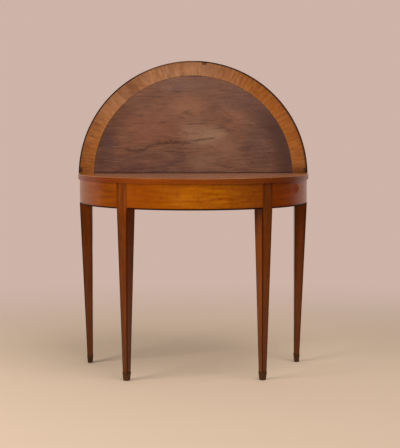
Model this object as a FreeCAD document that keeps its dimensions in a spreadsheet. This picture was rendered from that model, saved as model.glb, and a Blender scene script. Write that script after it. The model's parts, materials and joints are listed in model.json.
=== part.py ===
import FreeCAD, Part
import Sketcher
import math
import os

# Demilune fold-over table: a half-round fixed top on a curved frieze, a hinged leaf of the same
# shape that stands up behind it, two front legs, and two rear legs that swing out on fly rails.
# Row frame: +Z up from the floor, front towards -Y, origin at the middle of the table's footprint.
# The leaf's pieces are modelled folded shut about the hinge line, then stood up by their placement.

doc = FreeCAD.newDocument("demilune_table")
sheet = doc.addObject("Spreadsheet::Sheet", "Dim")

sizes = {
    # Tops. The hinge line runs along X at top_height.
    "top_height": 748,
    "top_radius": 450,
    "top_thickness": 20,
    "leaf_lean": 10.5,
    "meeting_gap": 0.4,
    "overrun": 1,
    # Inlay of the tops
    "band_width": 55.5,
    "band_depth": 1.2,
    "field_line": 1.5,
    "edge_line": 4,
    "edge_veneer": 1.2,
    # Frieze: a brick-laid core faced with veneer
    "frieze_height": 93,
    "top_overhang": 5.5,
    "veneer": 1.5,
    "core_thickness": 24,
    "lower_line": 4.5,
    "end_line": 3,
    # Legs, square and tapered
    "leg_width": 47,
    "ankle_width": 20.8,
    "front_leg_angle": 36.5,
    "bridle_cheek": 10,
    "leg_flat": 0.7,
    "arris_line": 2.5,
    "stile_line": 2.5,
    "rear_leg_inset": 2,
    "rear_inner_taper": 3,
    # Foot caps
    "cap_height": 32,
    "cap_foot_width": 18.5,
    "cap_wall": 1.5,
    "cap_floor": 3,
    # Back rails and fly rails
    "back_reveal": 1.5,
    "rail_thickness": 22,
    "gate_gap": 1,
    "rail_tenon": 10,
    "knuckle_spread": 60,
    "knuckle_gap": 0.4,
    "gate_pin_radius": 3,
    "pin_clearance": 0.05,
    "tenon_length": 26,
    "tenon_thickness": 8,
    "tenon_shoulder": 12,
    "peg_radius": 3.5,
    # Inner framing
    "brace_width": 50,
    "brace_thickness": 20,
    "brace_lap": 12,
    "glue_block_length": 60,
    "glue_block_size": 22,
    # Hinges at the ends of the meeting line
    "plate_length": 55,
    "plate_width": 11,
    "plate_thickness": 2.5,
    "knuckle_radius": 4,
    "knuckle_clear": 0.4,
    "ear_width": 3,
    "ear_gap": 0.3,
    "ear_inset": 0.5,
    "bridge_length": 10,
    "hinge_pin_radius": 1.5,
    # Locating tongue in the leaf's meeting edge
    "tongue_width": 40,
    "tongue_inner": 7,
    "tongue_outer": 13,
    "tongue_tip": 6,
    "tongue_root": 6,
    "tongue_gap": 0.3,
    # Screws
    "plate_screw_radius": 1.4,
    "plate_screw_head": 2.8,
    "plate_screw_length": 14,
    "screw_radius": 2.2,
    "screw_head": 4.2,
    "screw_bite": 12,
    "screw_sink": 0.3,
}
course_count = 3
brick_count = 5
finger_count = 5
glue_block_shares = (0.2, 0.62, 0.84)
peg_shares = (0.3, 0.7)
plate_screw_shares = (0.42, 0.82)
block_screw_share = 0.5
block_screw_height_shares = (0.3, 0.7)

for row, (alias, value) in enumerate(sizes.items(), 1):
    sheet.set(f"A{row}", alias)
    sheet.set(f"B{row}", str(value))
    sheet.setAlias(f"B{row}", alias)
doc.recompute()

vec = FreeCAD.Vector
turn = FreeCAD.Rotation
along_x = turn(vec(0, 1, 0), 90)
against_x = turn(vec(0, 1, 0), -90)
along_y = turn(vec(1, 0, 0), -90)
downward = turn(vec(1, 0, 0), 180)

# Heights, depths and radii worked out from the driving sizes

half_gap = "(Dim.meeting_gap / 2)"
lean = "(Dim.leaf_lean * 1 deg)"
hinge_y = f"((Dim.top_radius * (1 - sin({lean})) - Dim.top_thickness * cos({lean})) / 2)"
arc_y = f"({hinge_y} - {half_gap})"
top_face = f"(Dim.top_height - {half_gap})"
top_under = f"({top_face} - Dim.top_thickness)"

frieze_top = top_under
frieze_base = f"({frieze_top} - Dim.frieze_height)"
frieze_r = "(Dim.top_radius - Dim.top_overhang)"
core_outer = f"({frieze_r} - Dim.veneer)"
core_inner = f"({core_outer} - Dim.core_thickness)"
course_height = f"(Dim.frieze_height / {course_count})"

rail_back = f"({hinge_y} - Dim.back_reveal)"
rail_front = f"({rail_back} - Dim.rail_thickness)"
rail_mid = f"({rail_back} - Dim.rail_thickness / 2)"
frieze_end = f"({rail_front} - Dim.gate_gap)"
inner_front = f"({frieze_end} - Dim.rail_thickness)"
inner_mid = f"({frieze_end} - Dim.rail_thickness / 2)"
gate_top = f"({frieze_top} - Dim.gate_gap)"

# Makers of the plain solids that the pieces are cut from

nodes = {}


def node(label, thing):
    thing.Label = label
    nodes[label] = thing
    return thing


def bind(thing, **formulas):
    for size, formula in formulas.items():
        thing.setExpression(size, formula)
    return thing


def put(thing, x="0", y="0", z="0"):
    for axis, formula in zip("xyz", (x, y, z)):
        thing.setExpression("Placement.Base." + axis, formula)
    return thing


def spin(thing, axis, angle):
    thing.Placement.Rotation = turn(axis, 90)
    thing.setExpression("Placement.Rotation.Angle", angle)
    return thing


def extent(span):
    return f"({span[1]}) - ({span[0]})"


def about(middle, width):
    return (f"({middle} - {width} / 2)", f"({middle} + {width} / 2)")


def sided(side, near, far):
    return (near, far) if side > 0 else (f"(-{far})", f"(-{near})")


def box(name, x, y, z):
    block = doc.addObject("Part::Box", name)
    bind(block, Length=extent(x), Width=extent(y), Height=extent(z))
    return put(block, x[0], y[0], z[0])


def post(name, radius, z, x="0", y="0"):
    drum = doc.addObject("Part::Cylinder", name)
    bind(drum, Radius=radius, Height=extent(z))
    return put(drum, x, y, z[0])


def rod(name, radius, length, heading, x, y, z):
    bar = doc.addObject("Part::Cylinder", name)
    bind(bar, Radius=radius, Height=length)
    bar.Placement.Rotation = heading
    return put(bar, x, y, z)


def cross_rod(name, radius, x, y, z):
    return rod(name, radius, extent(x), along_x, x[0], y, z)


def tapered(name, z, foot, head):
    # A four-sided taper from the foot's rectangle to the head's. Each is ((x, x), (y, y)).
    wedge = doc.addObject("Part::Wedge", name)
    bind(wedge, Ymin="0", Ymax=extent(z))
    bind(wedge, Xmin=foot[0][0], Xmax=foot[0][1], Zmin=f"-({foot[1][1]})", Zmax=f"-({foot[1][0]})")
    bind(wedge, X2min=head[0][0], X2max=head[0][1], Z2min=f"-({head[1][1]})", Z2max=f"-({head[1][0]})")
    wedge.Placement.Rotation = turn(vec(1, 0, 0), 90)
    return put(wedge, "0", "0", z[0])


def cut(name, base, *tools):
    for tool in tools:
        result = doc.addObject("Part::Cut", name + "_cut")
        result.Base = base
        result.Tool = tool
        base = result
    return base


def fuse(name, *pieces):
    whole = doc.addObject("Part::MultiFuse", name + "_fused")
    whole.Shapes = list(pieces)
    whole.Refine = True
    return whole


def common(name, first, second):
    shared = doc.addObject("Part::Common", name + "_common")
    shared.Base = first
    shared.Tool = second
    return shared


def group(name, pieces):
    together = doc.addObject("Part::Compound", name + "_group")
    together.Links = list(pieces)
    return together


def sector(name, radius, start, sweep, z, centre):
    slice_of = bind(doc.addObject("Part::Cylinder", name), Radius=radius, Height=extent(z), Angle=sweep)
    return put(spin(slice_of, vec(0, 0, 1), start), "0", centre, z[0])


def half_ring(name, outer, inner, z, centre):
    bore = (f"{z[0]} - Dim.overrun", f"{z[1]} + Dim.overrun")
    drum = sector(name + "_drum", outer, "180", "180", z, centre)
    return cut(name, drum, post(name + "_bore", inner, bore, y=centre))


def screw(name, shank, head, length, heading, x, y, z):
    # A countersunk screw whose head lies at the given place and faces the given way.
    sink = f"({head} - {shank})"
    stem = post(name + "_stem", shank, (f"(-{length})", f"(-{sink})"))
    cone = doc.addObject("Part::Cone", name + "_head")
    bind(cone, Radius1=shank, Radius2=head, Height=sink)
    put(cone, z=f"-{sink}")
    whole = fuse(name, stem, cone)
    whole.Placement.Rotation = heading
    return put(whole, x, y, z)


def half_disc(name, centre, z):
    # The blank of a top: a half-round board padded from its outline.
    board = doc.addObject("PartDesign::Body", name)
    outline = board.newObject("Sketcher::SketchObject", name + "_outline")
    plane = [face for face in board.Origin.OriginFeatures if face.Role == "XY_Plane"][0]
    outline.AttachmentSupport = [(plane, "")]
    outline.MapMode = "FlatFace"
    radius = sizes["top_radius"]
    whole = Part.Circle(vec(0, 0, 0), vec(0, 0, 1), radius)
    arc = outline.addGeometry(Part.ArcOfCircle(whole, math.pi, 2 * math.pi))
    edge = outline.addGeometry(Part.LineSegment(vec(-radius, 0, 0), vec(radius, 0, 0)))
    outline.addConstraint(Sketcher.Constraint("Coincident", arc, 3, -1, 1))
    for end in (1, 2):
        outline.addConstraint(Sketcher.Constraint("Coincident", arc, end, edge, end))
        outline.addConstraint(Sketcher.Constraint("PointOnObject", arc, end, -1))
    rim = outline.addConstraint(Sketcher.Constraint("Radius", arc, radius))
    outline.renameConstraint(rim, "rim")
    outline.setExpression("Constraints.rim", "Dim.top_radius")
    slab = board.newObject("PartDesign::Pad", name + "_slab")
    slab.Profile = outline
    slab.setExpression("Length", "Dim.top_thickness")
    return put(board, "0", centre, z)


def stand(thing):
    # Turns a piece of the folded leaf up about the hinge line to where the leaf leans.
    return put(spin(thing, vec(-1, 0, 0), "90 + Dim.leaf_lean"), "0", hinge_y, "Dim.top_height")


def turn_to(thing, side):
    # Swings a piece modelled at the middle of the front round the arc to a front leg's place.
    return put(spin(thing, vec(0, 0, side), "Dim.front_leg_angle"), "0", arc_y)


sides = {"left": -1, "right": 1}
line_inner = "(Dim.top_radius - Dim.edge_line)"
band_inner = f"({line_inner} - Dim.band_width)"
field_r = f"({band_inner} - Dim.field_line)"


def inlay(name, centre, face, into):
    # Edge line, crossbanding and field line let into one face. into is the way to the wood.
    def layer(depth):
        return (face, f"({face} + {depth})") if into > 0 else (f"({face} - {depth})", face)

    return {
        "edge_line": half_ring(name + "_rim", "Dim.top_radius", line_inner, layer("Dim.edge_line"), centre),
        "crossbanding": half_ring(name + "_band", line_inner, band_inner, layer("Dim.band_depth"), centre),
        "field_line": half_ring(name + "_field", band_inner, field_r, layer("Dim.band_depth"), centre),
    }


# Hinge plates, ears and pins

ear_out = "(Dim.top_radius - Dim.ear_inset)"
ear_in = f"({ear_out} - Dim.ear_width)"
leaf_ear_out = f"({ear_in} - Dim.ear_gap)"
leaf_ear_in = f"({leaf_ear_out} - Dim.ear_width)"
knuckle_room = "(Dim.knuckle_radius + Dim.knuckle_clear)"
plate_inner = "(Dim.top_radius - Dim.plate_thickness)"
fixed_plate_top = f"({top_face} - Dim.edge_line)"
fixed_plate_z = (f"({fixed_plate_top} - Dim.plate_width)", fixed_plate_top)
leaf_plate_low = f"({half_gap} + Dim.edge_line)"
leaf_plate_z = (leaf_plate_low, f"({leaf_plate_low} + Dim.plate_width)")


def plate_strip(name, side, z, centre, axis_y):
    strip = half_ring(name, "Dim.top_radius", plate_inner, z, centre)
    end = box(name + "_end", sided(side, "0", "(Dim.top_radius + Dim.overrun)"),
              (f"({axis_y} - Dim.plate_length)", axis_y), z)
    return common(name, strip, end)


def room(name, side, axis_y, axis_z):
    reach = sided(side, f"({leaf_ear_in} - Dim.ear_gap)", "(Dim.top_radius + Dim.overrun)")
    return cross_rod(name, knuckle_room, reach, axis_y, axis_z)


def plate_screws(name, side, axis_y, z):
    # Screws through the plate into the board's end, their heads just under the curved edge.
    made = []
    for place, share in enumerate(plate_screw_shares):
        back = f"({share} * Dim.plate_length)"
        edge = f"(sqrt(Dim.top_radius^2 - {back}^2) - Dim.screw_sink)"
        heading = along_x if side > 0 else against_x
        x = edge if side > 0 else f"(-{edge})"
        made.append(screw(f"{name}_{place}", "Dim.plate_screw_radius", "Dim.plate_screw_head",
                          "Dim.plate_screw_length", heading, x, f"({axis_y} - {back})", z))
    return made


fixed_plate_mid = f"({fixed_plate_top} - Dim.plate_width / 2)"
leaf_plate_mid = f"({leaf_plate_low} + Dim.plate_width / 2)"
fixed_plates = {}
leaf_plates = {}
fixed_rooms = []
leaf_rooms = []
hinge_pins = []
fixed_plate_screws = []
leaf_plate_screws = []
for name, side in sides.items():
    fixed_ear_x = sided(side, ear_in, ear_out)
    leaf_ear_x = sided(side, leaf_ear_in, leaf_ear_out)
    pin_x = sided(side, leaf_ear_in, ear_out)
    pin = cross_rod(name + "_hinge_pin", "Dim.hinge_pin_radius", pin_x, hinge_y, "Dim.top_height")
    hinge_pins.append(pin)

    strip = plate_strip(name + "_fixed_strip", side, fixed_plate_z, arc_y, hinge_y)
    web = box(name + "_fixed_web", fixed_ear_x, (f"({hinge_y} - Dim.knuckle_radius)", arc_y),
              (fixed_plate_z[0], "Dim.top_height"))
    barrel = cross_rod(name + "_fixed_barrel", "Dim.knuckle_radius", fixed_ear_x, hinge_y, "Dim.top_height")
    fixed_screws = plate_screws(name + "_fixed_plate_screw", side, hinge_y, fixed_plate_mid)
    fixed_plates[name] = fuse(name + "_fixed_plate", strip, web, barrel)
    fixed_plate_screws += fixed_screws
    fixed_rooms.append(room(name + "_fixed_room", side, hinge_y, "Dim.top_height"))
    node(name + "_hinge_fixed_plate", cut(name + "_fixed_plate", fixed_plates[name], pin, *fixed_screws))

    leaf_room = room(name + "_leaf_room", side, "0", "0")
    strip = plate_strip(name + "_leaf_strip", side, leaf_plate_z, f"(-{half_gap})", "0")
    strip = cut(name + "_leaf_strip", strip, leaf_room)
    bridge = box(name + "_leaf_bridge", sided(side, leaf_ear_in, ear_out),
                 ("(-Dim.bridge_length)", f"(-{half_gap})"),
                 (f"({knuckle_room} + Dim.knuckle_clear)", leaf_plate_z[1]))
    web = box(name + "_leaf_web", leaf_ear_x, ("(-Dim.knuckle_radius)", f"(-{half_gap})"),
              ("0", leaf_plate_z[1]))
    barrel = cross_rod(name + "_leaf_barrel", "Dim.knuckle_radius", leaf_ear_x, "0", "0")
    bore = cross_rod(name + "_leaf_bore", "(Dim.hinge_pin_radius + Dim.pin_clearance)", pin_x, "0", "0")
    leaf_screws = plate_screws(name + "_leaf_plate_screw", side, "0", leaf_plate_mid)
    leaf_plates[name] = fuse(name + "_leaf_plate", strip, bridge, web, barrel)
    leaf_plate_screws += leaf_screws
    leaf_rooms.append(leaf_room)
    plate = cut(name + "_leaf_plate", leaf_plates[name], bore, *leaf_screws)
    node(name + "_hinge_leaf_plate", stand(plate))

node("hinge_pins", group("hinge_pins", hinge_pins))
node("fixed_hinge_screws", group("fixed_hinge_screws", fixed_plate_screws))
node("leaf_hinge_screws", stand(group("leaf_hinge_screws", leaf_plate_screws)))

# Locating tongue: an arc about the hinge line, so it swings into its slot as the leaf opens


def tongue_blank(name, axis_y, axis_z, half_width, inner, outer, y, z):
    x = (f"(-{half_width})", half_width)
    hoop = cut(name, cross_rod(name + "_hoop", outer, x, axis_y, axis_z),
               cross_rod(name + "_bore", inner, x, axis_y, axis_z))
    return common(name, hoop, box(name + "_part", x, y, z))


tongue = tongue_blank("tongue", "0", "0", "(Dim.tongue_width / 2)", "Dim.tongue_inner", "Dim.tongue_outer",
                      ("(-Dim.tongue_root)", "Dim.tongue_outer"), ("Dim.tongue_tip", "Dim.tongue_outer"))
slot_outer = "(Dim.tongue_outer + Dim.tongue_gap)"
tongue_slot = tongue_blank(
    "tongue_slot", hinge_y, "Dim.top_height", "(Dim.tongue_width / 2 + Dim.tongue_gap)",
    "(Dim.tongue_inner - Dim.tongue_gap)", slot_outer,
    (f"({hinge_y} - {slot_outer})", hinge_y),
    (f"(Dim.top_height - {slot_outer})", "(Dim.top_height - Dim.tongue_tip + Dim.tongue_gap)"))
node("leaf_tongue", stand(group("leaf_tongue", [tongue])))

# Glue blocks under the fixed top, with the screws that hold it down

glue_blocks = []
top_screws = []
glue_low = f"({frieze_top} - Dim.glue_block_size)"
for side in sides.values():
    for share in glue_block_shares:
        heading = turn(vec(0, 0, 1), side * share * 90)
        tag = f"glue_{'left' if side < 0 else 'right'}_{glue_block_shares.index(share)}"
        block_z = (glue_low, frieze_top)
        inside = (f"(-{core_inner} - Dim.overrun)", f"(-{core_inner} + Dim.glue_block_size)")
        block = box(tag + "_box", about("0", "Dim.glue_block_length"), inside, block_z)
        block = common(tag, block, post(tag + "_curve", core_inner, block_z))
        hold = screw(tag + "_screw", "Dim.screw_radius", "Dim.screw_head",
                     "(Dim.glue_block_size + Dim.screw_bite)", downward,
                     "0", f"(-{core_inner} + Dim.glue_block_size / 2)", glue_low)
        seated = cut(tag, block, hold)
        held = group(tag + "_screw", [hold])
        for thing in (seated, held):
            thing.Placement.Rotation = heading
            put(thing, "0", arc_y)
        glue_blocks.append(seated)
        top_screws.append(held)
node("glue_blocks", group("glue_blocks", glue_blocks))
top_screw_group = node("top_screws", group("top_screws", top_screws))

# Fixed top

fixed_inlay = inlay("fixed", arc_y, top_face, -1)
fixed_edge = half_ring("fixed_edge", "Dim.top_radius", "(Dim.top_radius - Dim.edge_veneer)",
                       (top_under, fixed_plate_top), arc_y)
for piece, blank in fixed_inlay.items():
    node("fixed_top_" + piece, cut("fixed_" + piece, blank, *fixed_plates.values(), *fixed_rooms))
node("fixed_top_edge_veneer", cut("fixed_edge", fixed_edge, *fixed_plates.values(), *fixed_rooms))
node("fixed_top_panel", cut("fixed_panel", half_disc("fixed_board", arc_y, top_under),
                            *fixed_inlay.values(), fixed_edge, *fixed_plates.values(), *fixed_rooms,
                            *fixed_plate_screws, tongue_slot, top_screw_group))

# Leaf, with inlay on the face that shows when it is raised and on the face that shows when it is shut

leaf_y = f"(-{half_gap})"
leaf_face = half_gap
leaf_back = f"({half_gap} + Dim.top_thickness)"
leaf_inlay = inlay("leaf", leaf_y, leaf_face, 1)
outer_inlay = inlay("leaf_outer", leaf_y, leaf_back, -1)
leaf_edge = half_ring("leaf_edge", "Dim.top_radius", "(Dim.top_radius - Dim.edge_veneer)",
                      (leaf_plate_low, f"({leaf_back} - Dim.edge_line)"), leaf_y)
for piece, blank in leaf_inlay.items():
    node("leaf_" + piece, stand(cut("leaf_" + piece, blank, *leaf_plates.values(), *leaf_rooms)))
for piece, blank in outer_inlay.items():
    node("leaf_outer_" + piece, stand(group("leaf_outer_" + piece, [blank])))
node("leaf_edge_veneer", stand(cut("leaf_edge", leaf_edge, *leaf_plates.values(), *leaf_rooms)))
leaf_panel = cut("leaf_panel", half_disc("leaf_board", leaf_y, leaf_face),
                 *leaf_inlay.values(), *outer_inlay.values(), leaf_edge, *leaf_plates.values(), *leaf_rooms,
                 *leaf_plate_screws, tongue)
node("leaf_panel", stand(leaf_panel))

# Legs: a tapered shaft with lines along its arrises, and a tip that the foot cap holds

cap_z = ("0", "Dim.cap_height")
tip_z = ("Dim.cap_floor", "Dim.cap_height")
cap_head_width = "(Dim.ankle_width + 2 * Dim.cap_wall)"
tip_width = "(Dim.cap_foot_width - 2 * Dim.cap_wall)"


def square(x, y, width):
    return (about(x, width), about(y, width))


def arris_lines(name, z, foot, head):
    def corner(span, end):
        if end == 0:
            return (span[0], f"({span[0]} + Dim.arris_line)")
        return (f"({span[1]} - Dim.arris_line)", span[1])

    lines = []
    for i in (0, 1):
        for j in (0, 1):
            low = (corner(foot[0], i), corner(foot[1], j))
            high = (corner(head[0], i), corner(head[1], j))
            lines.append(tapered(f"{name}_line_{i}{j}", z, low, high))
    return lines


def leg_foot(name, x, y):
    tip = tapered(name + "_tip", tip_z, square(x, y, tip_width), square(x, y, "Dim.ankle_width"))
    cup = tapered(name + "_cup", cap_z, square(x, y, "Dim.cap_foot_width"), square(x, y, cap_head_width))
    return tip, cut(name + "_cap", cup, tip)


# Front legs, forked over the frieze core with their outer cheek flush with the veneer

leg_front = f"(-{frieze_r})"
leg_rear = f"({leg_front} + Dim.leg_width)"
leg_mid = f"({leg_front} + Dim.leg_width / 2)"
half_leg = "(Dim.leg_width / 2)"
stile_inner = f"({half_leg} - Dim.stile_line)"
frieze_z = (frieze_base, frieze_top)
veneer_base = f"({frieze_base} + Dim.lower_line)"
veneer_z = (veneer_base, frieze_top)
front_legs = []
stile_gaps = []
for name, side in sides.items():
    tag = name + "_front_leg"
    shaft_z = ("Dim.cap_height", frieze_base)
    ankle = square("0", leg_mid, "Dim.ankle_width")
    knee = (about("0", "Dim.leg_width"), (f"({leg_front} + Dim.leg_flat)", leg_rear))
    shaft = tapered(tag + "_shaft", shaft_z, ankle, knee)
    tip, cap = leg_foot(tag, "0", leg_mid)
    block = box(tag + "_block", knee[0], (f"({leg_front} - Dim.overrun)", leg_rear), frieze_z)
    block = common(tag + "_block", block, post(tag + "_face", frieze_r, frieze_z))
    fork_z = (frieze_base, f"({frieze_top} + Dim.overrun)")
    bore_z = (f"({frieze_base} - Dim.overrun)", f"({frieze_top} + 2 * Dim.overrun)")
    fork = cut(tag + "_fork", post(tag + "_fork_outer", f"({frieze_r} - Dim.bridle_cheek)", fork_z),
               post(tag + "_fork_inner", core_inner, bore_z))
    lines = arris_lines(tag, shaft_z, ankle, knee)
    skin = half_ring(tag + "_skin", frieze_r, core_outer, veneer_z, "0")
    skin_y = (f"({leg_front} - Dim.overrun)", "0")
    for edge in (-1, 1):
        margin = box(f"{tag}_margin_{edge + 1}", sided(edge, stile_inner, half_leg), skin_y, veneer_z)
        lines.append(common(tag + "_stile_line", skin, margin))
    leg = cut(tag, fuse(tag, tip, shaft, block), fork, *lines)
    front_legs.append(node(tag, turn_to(leg, side)))
    node(tag + "_stringing", turn_to(group(tag + "_stringing", lines), side))
    node(name + "_front_foot_cap", turn_to(cap, side))
    gap = box(tag + "_gap", (f"(-{half_leg})", half_leg), skin_y, veneer_z)
    stile_gaps.append(turn_to(group(tag + "_gap", [gap]), side))

# Inner back rail, medial brace and the fixed half of the fly rails' knuckles

gate_z = (frieze_base, gate_top)
finger_height = f"(({extent(gate_z)}) / {finger_count})"
reach = "(Dim.rail_thickness / 2 + Dim.knuckle_gap)"
barrel_r = "(Dim.rail_thickness / 2)"
hub = f"(Dim.knuckle_spread - {reach})"
fly_y = (rail_front, rail_back)


def finger_z(index, gap):
    low = f"({frieze_base} + {index} * {finger_height} + {gap})"
    return (low, f"({frieze_base} + {index + 1} * {finger_height} - {gap})")


brace = box("brace", about("0", "Dim.brace_width"),
            (f"({arc_y} - {core_inner} - Dim.brace_lap)", f"({inner_front} + Dim.brace_lap)"),
            (f"({frieze_top} - Dim.brace_thickness)", frieze_top))
node("medial_brace", brace)

gate_pins = []
for name, side in sides.items():
    pin_at = "Dim.knuckle_spread" if side > 0 else "(-Dim.knuckle_spread)"
    gate_pins.append(post(name + "_gate_pin", "Dim.gate_pin_radius", gate_z, pin_at, rail_mid))
node("gate_hinge_pins", group("gate_hinge_pins", gate_pins))

block_screws = []
for side in sides.values():
    for share in block_screw_height_shares:
        x = f"({side} * {block_screw_share} * {hub})"
        z = f"({frieze_base} + {share} * Dim.frieze_height)"
        block_screws.append(screw("block_screw", "Dim.screw_radius", "Dim.screw_head",
                                  "(Dim.rail_thickness + Dim.gate_gap + Dim.screw_bite)",
                                  along_y, x, f"({rail_back} - Dim.screw_sink)", z))
node("hinge_block_screws", group("hinge_block_screws", block_screws))

hinge_block = [box("hinge_block_core", (f"(-{hub})", hub), (frieze_end, rail_back), gate_z)]
for index in range(0, finger_count, 2):
    spread = ("(-Dim.knuckle_spread)", "Dim.knuckle_spread")
    z = finger_z(index, "0")
    hinge_block.append(box(f"block_finger_{index}", spread, fly_y, z))
    for x in spread:
        hinge_block.append(post(f"block_barrel_{index}", barrel_r, z, x, rail_mid))
node("gate_hinge_block", cut("hinge_block", fuse("hinge_block", *hinge_block), *gate_pins, *block_screws))

course_low = f"({frieze_base} + {course_height})"
rail_tenon = box("back_rail_tenon", (f"(-{core_inner} - Dim.rail_tenon)", f"({core_inner} + Dim.rail_tenon)"),
                 about(inner_mid, "Dim.tenon_thickness"), (course_low, f"({course_low} + {course_height})"))
rail_bar = box("back_rail_bar", (f"(-{core_inner})", core_inner), (inner_front, frieze_end), frieze_z)
rail_bar = common("back_rail", rail_bar, post("back_rail_curve", core_inner, frieze_z, y=arc_y))
back_rail = cut("back_rail", fuse("back_rail", rail_bar, rail_tenon), brace, *block_screws)
node("inner_back_rail", back_rail)

# Frieze: three courses of bricks with staggered joints, then lines and veneer over them

past_end = box("past_end", ("(-Dim.top_radius)", "Dim.top_radius"),
               (frieze_end, f"({hinge_y} + Dim.overrun)"), frieze_z)
line_z = (frieze_base, veneer_base)
lower_ring = half_ring("lower_ring", frieze_r, f"({frieze_r} - Dim.lower_line)", line_z, arc_y)
brick_angle = 180 / brick_count
course_tools = {"lower": [lower_ring], "middle": [rail_tenon], "upper": [brace]}
for index, (name, tools) in enumerate(course_tools.items()):
    tag = f"frieze_course_{name}"
    low = f"({frieze_base} + {index} * {course_height})"
    course_z = (low, f"({low} + {course_height})")
    ring = half_ring(tag, core_outer, core_inner, course_z, arc_y)
    ring = cut(tag, ring, past_end, *front_legs, *tools)
    joints = [brick_angle * step for step in range(brick_count + 1)]
    if index % 2:
        joints = [0] + [joint + brick_angle / 2 for joint in joints[:-1]] + [180]
    bricks = []
    for start, stop in zip(joints, joints[1:]):
        wedge = sector(tag + "_wedge", "Dim.top_radius", f"{180 + start}", f"{stop - start}", course_z, arc_y)
        bricks.append(common(tag + "_brick", ring, wedge))
    node(tag, group(tag, bricks))

skin = half_ring("skin", frieze_r, core_outer, veneer_z, arc_y)
end_strip = box("end_strip", ("(-Dim.top_radius)", "Dim.top_radius"),
                (f"({frieze_end} - Dim.end_line)", frieze_end), veneer_z)
end_lines = common("end_lines", skin, end_strip)
lower_line = cut("lower_line", lower_ring, past_end, *front_legs)
node("frieze_edge_lines", group("frieze_edge_lines", [lower_line, end_lines]))
faced = cut("faced", skin, past_end, end_strip, *stile_gaps)
veneers = {
    "left": ("180", "(90 - Dim.front_leg_angle)"),
    "centre": ("(270 - Dim.front_leg_angle)", "(2 * Dim.front_leg_angle)"),
    "right": ("(270 + Dim.front_leg_angle)", "(90 - Dim.front_leg_angle)"),
}
for name, (start, sweep) in veneers.items():
    wedge = sector("veneer_wedge_" + name, "Dim.top_radius", start, sweep, veneer_z, arc_y)
    node("frieze_veneer_" + name, common("veneer_" + name, faced, wedge))

# Swinging gates: a fly rail with the moving knuckle fingers, tenoned and pegged to a rear leg

leg_outer_x = f"({frieze_r} - Dim.rear_leg_inset)"
leg_inner_x = f"({leg_outer_x} - Dim.leg_width)"
ankle_inner_x = f"({leg_inner_x} + Dim.rear_inner_taper)"
ankle_mid_x = f"({ankle_inner_x} + Dim.ankle_width / 2)"
rear_mid_y = f"({rail_back} - Dim.leg_width / 2)"
shoulder = f"({frieze_base} - Dim.gate_gap)"
tenon_z = (f"({frieze_base} + Dim.tenon_shoulder)", f"({gate_top} - Dim.tenon_shoulder)")
for name, side in sides.items():
    tag = name + "_gate"
    pin_at = "Dim.knuckle_spread" if side > 0 else "(-Dim.knuckle_spread)"
    rail = [
        box(tag + "_rail", sided(side, f"(Dim.knuckle_spread + {reach})", leg_inner_x), fly_y, gate_z),
        box(tag + "_tenon", sided(side, leg_inner_x, f"({leg_inner_x} + Dim.tenon_length)"),
            about(rail_mid, "Dim.tenon_thickness"), tenon_z),
    ]
    for index in range(1, finger_count, 2):
        z = finger_z(index, "Dim.knuckle_gap")
        neck = sided(side, "Dim.knuckle_spread", f"(Dim.knuckle_spread + {reach})")
        rail.append(box(f"{tag}_finger_{index}", neck, fly_y, z))
        rail.append(post(f"{tag}_barrel_{index}", barrel_r, z, pin_at, rail_mid))
    rail = fuse(tag + "_rail", *rail)
    pin_hole = post(tag + "_pin_hole", "(Dim.gate_pin_radius + Dim.pin_clearance)", gate_z, pin_at, rail_mid)
    peg_x = f"({side} * ({leg_inner_x} + Dim.tenon_length / 2))"
    pegs = []
    for share in peg_shares:
        peg_at = f"({frieze_base} + {share} * Dim.frieze_height)"
        pegs.append(rod(tag + "_peg", "Dim.peg_radius", "Dim.rail_thickness", along_y,
                        peg_x, rail_front, peg_at))
    node(name + "_fly_rail", cut(tag + "_rail", rail, pin_hole, *pegs))
    node(name + "_gate_pegs", group(tag + "_pegs", pegs))

    tag = name + "_rear_leg"
    shaft_z = ("Dim.cap_height", shoulder)
    foot_x = f"({side} * {ankle_mid_x})"
    ankle = square(foot_x, rear_mid_y, "Dim.ankle_width")
    knee = (sided(side, leg_inner_x, leg_outer_x), about(rear_mid_y, "Dim.leg_width"))
    shaft = tapered(tag + "_shaft", shaft_z, ankle, knee)
    tip, cap = leg_foot(tag, foot_x, rear_mid_y)
    block = box(tag + "_block", knee[0], fly_y, (shoulder, gate_top))
    lines = arris_lines(tag, shaft_z, ankle, knee)
    node(tag, cut(tag, fuse(tag, tip, shaft, block), rail, *pegs, *lines))
    node(tag + "_stringing", group(tag + "_stringing", lines))
    node(name + "_rear_foot_cap", cap)

doc.recompute()
broken = [thing.Name for thing in doc.Objects if "Invalid" in thing.State or "Error" in thing.State]
for label, thing in nodes.items():
    if thing.Shape.isNull() or not thing.Shape.isValid() or not thing.Shape.Solids:
        broken.append(label)
if broken:
    raise RuntimeError("these did not build: " + ", ".join(broken))
os.makedirs("parts", exist_ok=True)
for label, thing in nodes.items():
    thing.Shape.exportStep(f"parts/{label}.step")
    print(label, len(thing.Shape.Solids), round(thing.Shape.Volume))
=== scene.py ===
import json
import math

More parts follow.
